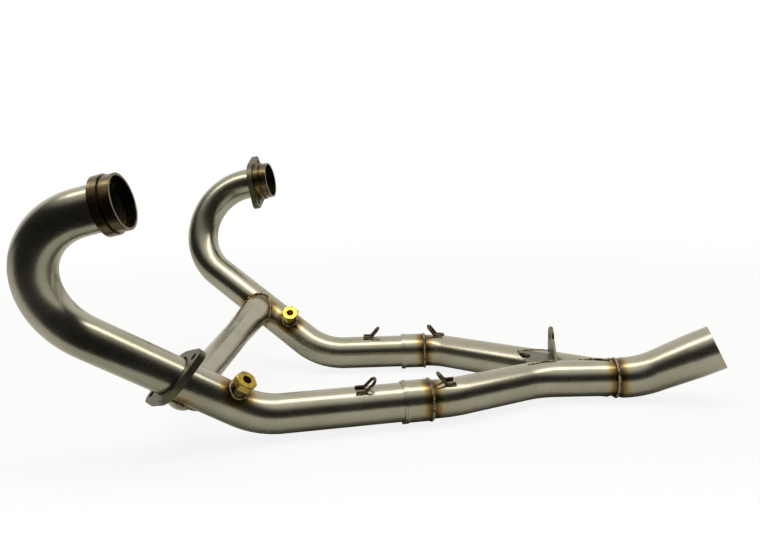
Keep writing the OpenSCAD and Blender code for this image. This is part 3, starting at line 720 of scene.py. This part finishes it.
class DECAT_OT_tacks(bpy.types.Operator):
    """Lay the small welds on the hooks and the bracket"""

    bl_idname = "decat.tacks"
    bl_label = "Small welds"

    def execute(self, context):
        sizes, left, right, _, collector = pipe_frames(context)
        bead = weld_steel(context.scene.decat_colours)
        bead.name = "Rippled tack weld"
        tube = sizes.tube_od / 2
        ripple = 0.8 * sizes.ripple
        hooks = {"left_front_hook": left["front_hook"], "right_front_hook": right["front_hook"],
                 "left_rear_hook": collector["left_hook"], "right_rear_hook": collector["right_hook"]}
        for name, f in hooks.items():
            paths = []
            for side in (-1, 1):
                # the bead lies beside the hook's wire, a little above the tube
                y = side * (sizes.hook_gap / 2 + 0.42 * sizes.hook_wire)
                reach = math.sqrt(tube ** 2 - y ** 2) + 0.3 * MM
                heights = [-sizes.hook_foot + i * sizes.hook_foot / 4 for i in range(5)]
                paths.append(([f @ Vector((reach, y, z)) for z in heights], False))
            lay_weld(context, name + "_weld", paths, sizes.tack_width, ripple, bead)
        # frames along the middles of the two tubes that the bracket lies on
        bend = [bent(collector["left_back"], sizes.branch_back * i / 60, sizes.branch_back_radius)
                for i in range(61)]
        bend += [along(collector["left_end"], i * MM) for i in range(1, 8)]
        leg = [along(collector["right_leg"], i * MM) for i in range(40, 220)]
        foot = collector["left_end"].translation
        # the ends of the sheet's two edges, in millimetres from that foot
        near_edge = [(-35, -10.7), (4, 6.3)]
        far_edge = [(-37, 61.3), (4, 53.3)]
        paths = [(self.edge_path(foot, near_edge, bend, tube), False)]
        far_points = self.edge_path(foot, far_edge, leg, tube)
        if len(far_points) > 1:
            paths.append((far_points, False))
        lay_weld(context, "bracket_weld", paths, sizes.tack_width, ripple, bead)
        return {"FINISHED"}

    def edge_path(self, foot, edge, centres, tube, steps=12):
        """Where a straight edge of the bracket's sheet lies on the top of a tube."""
        points = []
        for i in range(steps + 1):
            x, y = [a + (b - a) * i / steps for a, b in zip(*edge)]
            spot = foot + Vector((x * MM, y * MM, 0))
            side = min((spot - f.translation).length for f in centres)
            if side < 0.75 * tube:
                points.append(spot + Vector((0, 0, math.sqrt(tube ** 2 - side ** 2))))
        return points


class DECAT_OT_soot(bpy.types.Operator):
    """Line the three open ends with soot"""

    bl_idname = "decat.soot"
    bl_label = "Soot"

    def execute(self, context):
        sizes, left, right, _, collector = pipe_frames(context)
        soot = dry_soot(context.scene.decat_colours)
        # a lining stands clear of the wall, and in a bent tube it is narrower by the inset
        clear = 0.06 * MM
        inset = 0.4 * MM
        bore = sizes.tube_od / 2 - sizes.tube_wall - inset - clear
        spigot = sizes.collar_length - sizes.collar_shoulder
        for side, header, bends in (("left", left, sizes.left), ("right", right, sizes.right)):
            stations = [(along(header["mouth"], -spigot - 0.5 * MM), bore), (header["stub_foot"], bore)]
            # back round the turn in steps of 12 degrees
            for i in range(1, 7):
                back = bends.u_turn - math.radians(12 * i)
                stations.append((bent(header["u_bend"], back, sizes.u_bend_radius), bore))
            lining(context, side + "_port_soot", stations, sizes.soot_gap, soot)
        wall = sizes.tube_wall + clear
        mouth = sizes.outlet_socket_od / 2 - wall
        narrow = sizes.outlet_od / 2 - wall - inset
        stations = [(along(collector["outlet_mouth"], -1.5 * MM), mouth),
                    (collector["outlet_socket"], mouth),
                    (along(collector["outlet_leg"], 2 * MM), narrow)]
        for i in range(1, 6):
            back = sizes.outlet_rise * (1 - i / 5)
            stations.append((bent(collector["outlet_bend"], back, sizes.outlet_radius), narrow))
        lining(context, "outlet_soot", stations, sizes.soot_gap, soot)
        return {"FINISHED"}


class DECAT_OT_stage(bpy.types.Operator):
    """Make the floor, the light and the camera"""

    bl_idname = "decat.stage"
    bl_label = "Stage"

    def execute(self, context):
        look = context.scene.decat_stage
        self.make_camera(context, look)
        self.make_floor(context, look)
        self.make_world(context, look)
        self.make_lamp(context, look)
        context.scene.view_settings.view_transform = "Standard"
        return {"FINISHED"}

    def make_camera(self, context, look):
        camera = bpy.data.cameras.new("Camera")
        camera.sensor_width = 36
        camera.lens = look.focal_pixels * camera.sensor_width / PHOTO_WIDTH
        camera.clip_start = 0.01
        holder = bpy.data.objects.new("Camera", camera)
        context.scene.collection.objects.link(holder)
        level = math.cos(look.elevation)
        forward = Vector((-math.sin(look.azimuth) * level, math.cos(look.azimuth) * level,
                          -math.sin(look.elevation)))
        flat_right = Vector((math.cos(look.azimuth), math.sin(look.azimuth), 0))
        flat_up = flat_right.cross(forward)
        right = flat_right * math.cos(look.roll) - flat_up * math.sin(look.roll)
        up = right.cross(forward)
        turn = Matrix((right, up, -forward)).transposed()
        holder.matrix_world = Matrix.Translation(look.camera_at) @ turn.to_4x4()
        context.scene.camera = holder

    def make_floor(self, context, look):
        half = look.floor_size / 2
        low = -0.4 * MM
        near = -look.floor_front
        corners = [(-half, near, low), (half, near, low), (half, half, low), (-half, half, low)]
        floor = new_object(context, "Floor", corners, [(0, 1, 2, 3)])
        material = bpy.data.materials.new("Pale floor")
        material.use_nodes = True
        tree = material.node_tree
        tree.nodes.clear()
        paint = add_node(tree, "ShaderNodeBsdfDiffuse", {"Color": opaque(look.floor_colour)})
        glow = add_node(tree, "ShaderNodeEmission", {"Color": (1, 1, 1, 1), "Strength": 1.0})
        seen = add_node(tree, "ShaderNodeLightPath")
        point = add_node(tree, "ShaderNodeTexCoord").outputs["Object"]
        reach = add_node(tree, "ShaderNodeVectorMath", {0: point}, operation="LENGTH")
        # the floor fades to plain white far from the part and at its front edge
        fade = add_node(tree, "ShaderNodeMapRange", {"Value": reach.outputs["Value"], "From Min": 0.5,
                                                     "From Max": 2.0, "To Min": look.floor_white,
                                                     "To Max": 1.0}, interpolation_type="SMOOTHSTEP")
        parts = add_node(tree, "ShaderNodeSeparateXYZ", {"Vector": point})
        front = add_node(tree, "ShaderNodeMapRange", {"Value": parts.outputs["Y"], "From Min": near,
                                                      "From Max": 0.12 + near, "To Min": 1.0,
                                                      "To Max": look.floor_white},
                         interpolation_type="SMOOTHSTEP")
        white = add_node(tree, "ShaderNodeMath", {0: fade.outputs[0], 1: front.outputs[0]},
                         operation="MAXIMUM")
        share = add_node(tree, "ShaderNodeMath", {0: seen.outputs["Is Camera Ray"], 1: white.outputs[0]},
                         operation="MULTIPLY")
        mix = add_node(tree, "ShaderNodeMixShader", {0: share.outputs[0], 1: paint.outputs[0],
                                                     2: glow.outputs[0]})
        add_node(tree, "ShaderNodeOutputMaterial", {"Surface": mix.outputs[0]})
        floor.data.materials.append(material)

    def make_world(self, context, look):
        """White behind and above the part and dark toward the camera, but plain white to the camera."""
        world = bpy.data.worlds.new("Studio")
        context.scene.world = world
        world.use_nodes = True
        tree = world.node_tree
        tree.nodes.clear()
        way = add_node(tree, "ShaderNodeTexCoord").outputs["Generated"]
        parts = add_node(tree, "ShaderNodeSeparateXYZ", {"Vector": way})
        overhead = add_node(tree, "ShaderNodeMapRange", {"Value": parts.outputs["Z"], "From Min": 0.5,
                                                         "From Max": 0.9, "To Min": look.studio_dark,
                                                         "To Max": 1.0}, interpolation_type="SMOOTHSTEP")
        behind = add_node(tree, "ShaderNodeMapRange", {"Value": parts.outputs["Y"], "From Min": 0.1,
                                                       "From Max": 0.6}, interpolation_type="SMOOTHSTEP")
        level = add_node(tree, "ShaderNodeMath", {0: overhead.outputs[0], 1: behind.outputs[0]},
                         operation="MAXIMUM")
        studio = add_node(tree, "ShaderNodeBackground", {"Color": opaque(look.studio_colour),
                                                         "Strength": level.outputs[0]})
        backdrop = add_node(tree, "ShaderNodeBackground", {"Color": (1, 1, 1, 1), "Strength": 1.0})
        seen = add_node(tree, "ShaderNodeLightPath")
        mix = add_node(tree, "ShaderNodeMixShader", {0: seen.outputs["Is Camera Ray"], 1: studio.outputs[0],
                                                     2: backdrop.outputs[0]})
        add_node(tree, "ShaderNodeOutputWorld", {"Surface": mix.outputs[0]})

    def make_lamp(self, context, look):
        lamp = bpy.data.lights.new("Overhead softbox", "AREA")
        lamp.shape = "RECTANGLE"
        lamp.size = look.lamp_length
        lamp.size_y = look.lamp_width
        lamp.energy = look.lamp_power
        lamp.color = look.lamp_colour
        holder = bpy.data.objects.new("Overhead softbox", lamp)
        holder.location = look.lamp_at
        context.scene.collection.objects.link(holder)


class DECAT_PT_panel(bpy.types.Panel):
    """Lists the steps of the decat pipe"""

    bl_idname = "DECAT_PT_panel"
    bl_label = "Decat Pipe"
    bl_space_type = "VIEW_3D"
    bl_region_type = "UI"
    bl_category = "Decat Pipe"

    def draw(self, context):
        for step in STEPS:
            self.layout.operator(step.bl_idname)


STEPS = (DECAT_OT_stage, DECAT_OT_metals, DECAT_OT_welds, DECAT_OT_tacks, DECAT_OT_soot)
GROUPS = (LeftHeaderBends, RightHeaderBends, PipeSizes, PipeColours, StageLook)


def register():
    for item in GROUPS + STEPS + (DECAT_PT_panel,):
        bpy.utils.register_class(item)
    bpy.types.Scene.decat_sizes = PointerProperty(type=PipeSizes)
    bpy.types.Scene.decat_colours = PointerProperty(type=PipeColours)
    bpy.types.Scene.decat_stage = PointerProperty(type=StageLook)


def unregister():
    del bpy.types.Scene.decat_stage
    del bpy.types.Scene.decat_colours
    del bpy.types.Scene.decat_sizes
    for item in reversed(GROUPS + STEPS + (DECAT_PT_panel,)):
        bpy.utils.unregister_class(item)


def main():
    register()
    bpy.ops.decat.stage()
    bpy.ops.decat.metals()
    bpy.ops.decat.welds()
    bpy.ops.decat.tacks()
    bpy.ops.decat.soot()
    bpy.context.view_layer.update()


if __name__ == "__main__":
    main()
